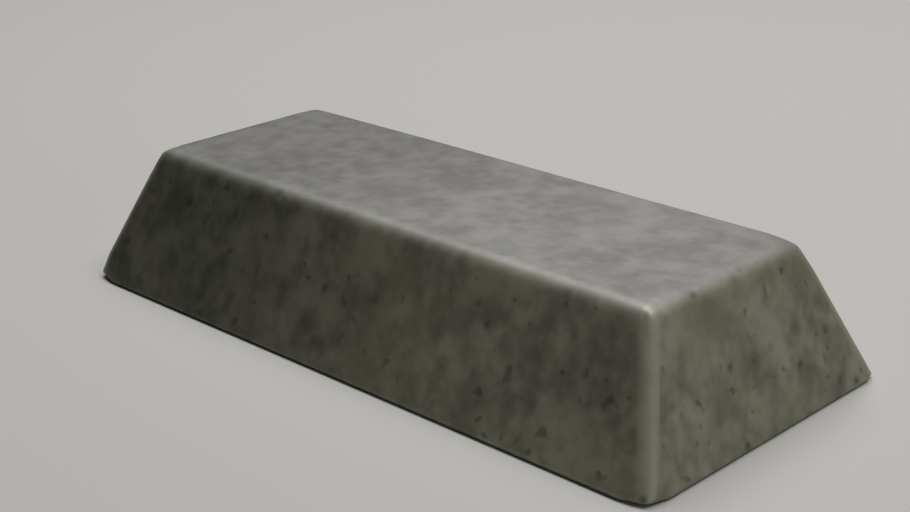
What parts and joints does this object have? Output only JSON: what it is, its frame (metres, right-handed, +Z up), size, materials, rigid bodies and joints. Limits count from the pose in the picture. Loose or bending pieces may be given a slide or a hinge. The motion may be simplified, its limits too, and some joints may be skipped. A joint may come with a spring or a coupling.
{
  "type": "steel ingot",
  "caption": "Cast steel ingot: a solid bar with a wide flat base, drafted sides and ends, a narrower flat top and rounded edges.",
  "frame": {"origin": "centre of the flat base, on the surface that the ingot lies on", "axes": "+X along the length, +Y across the width, +Z up out of the base"},
  "size_m": [0.2488, 0.1134, 0.0465],
  "materials": {
    "cast_steel": "dull as-cast skin, softly mottled and pitted, darker on the mould faces"
  },
  "bodies": {
    "root": {"ingot": "cast_steel"}
  },
  "joints": []
}
